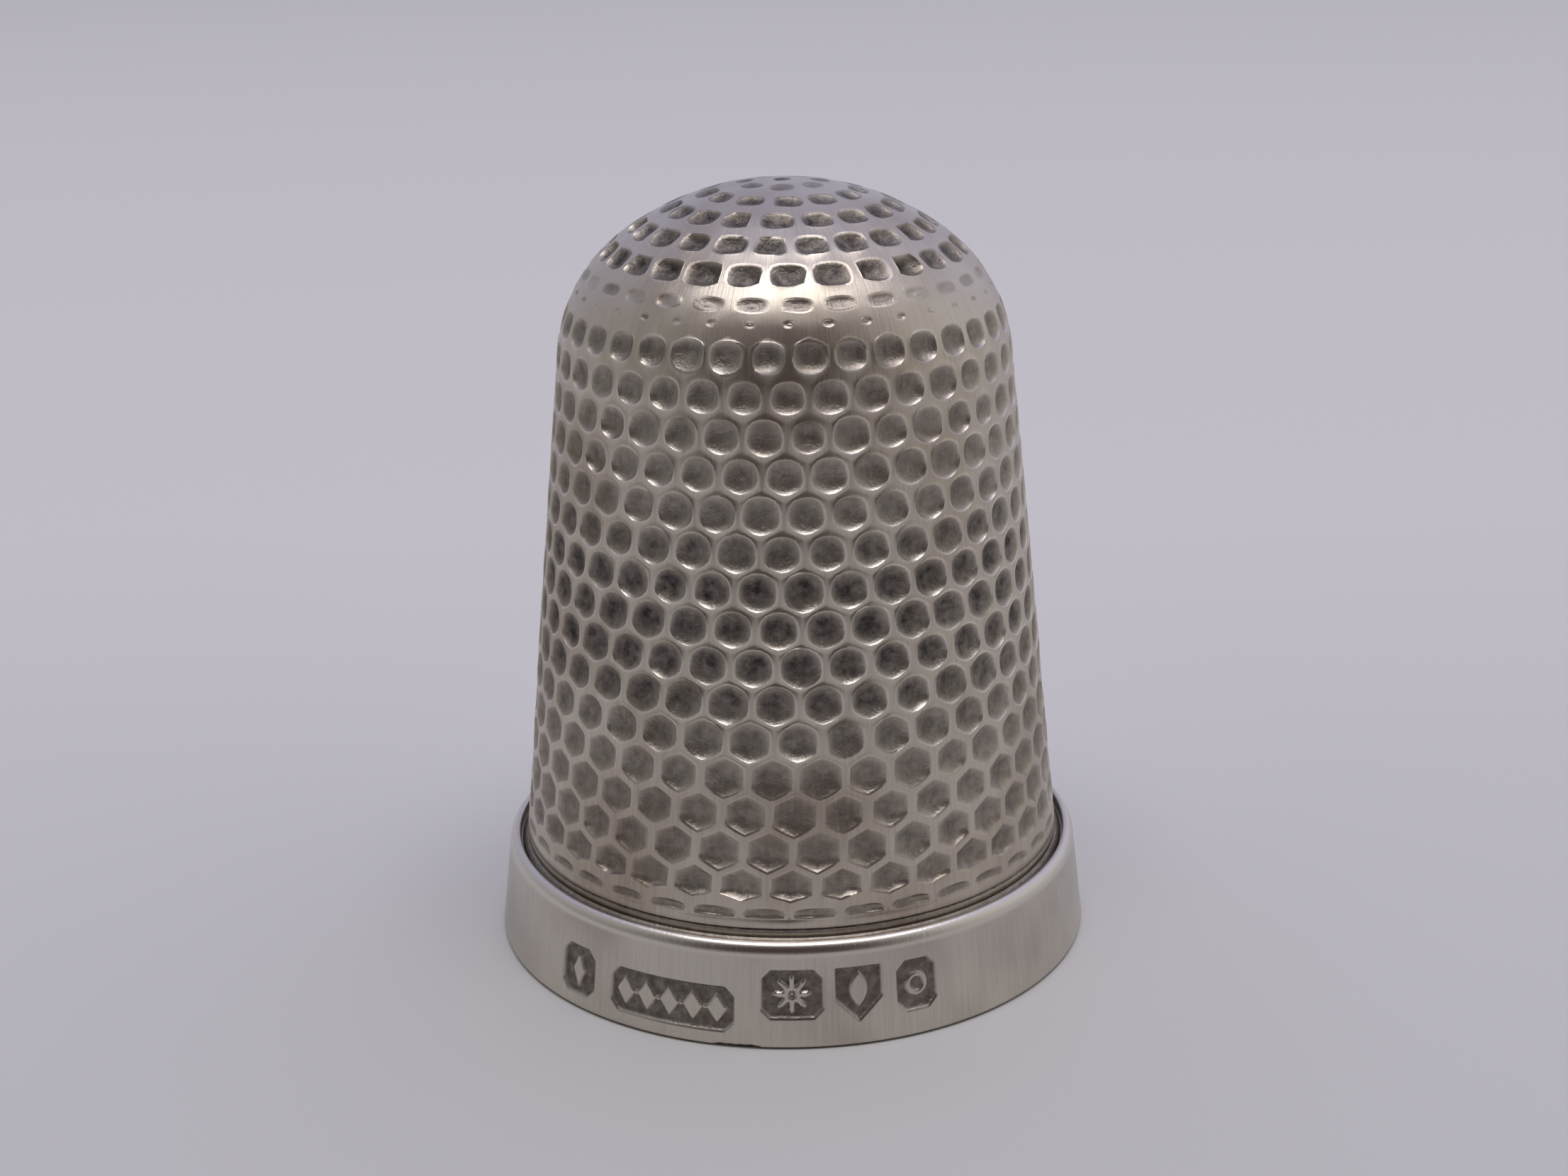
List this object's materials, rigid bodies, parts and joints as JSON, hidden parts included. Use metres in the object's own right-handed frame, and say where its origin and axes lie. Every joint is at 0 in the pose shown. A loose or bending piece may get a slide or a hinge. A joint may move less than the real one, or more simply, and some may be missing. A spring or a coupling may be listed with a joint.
{
  "type": "sewing thimble",
  "caption": "Knurled metal sewing thimble: a tapering dimpled cup with a domed crown, open below, with a plain band soldered round its mouth.",
  "frame": {"origin": "centre of the mouth, in the plane that the thimble stands on", "axes": "+Z along the finger axis from the mouth to the crown; the band's punch marks face -Y"},
  "size_m": [0.018, 0.018, 0.0226],
  "materials": {
    "knurled_silver": "worn sterling silver with dark tarnish in the dimples",
    "band_silver": "sterling silver, satin with fine wear scratches",
    "silver_solder": "silver solder, dull and slightly tarnished"
  },
  "bodies": {
    "root": {"thimble_body": "knurled_silver", "rim_band": "band_silver", "band_closing_seam": "silver_solder", "rim_solder_ring": "silver_solder"}
  },
  "joints": []
}
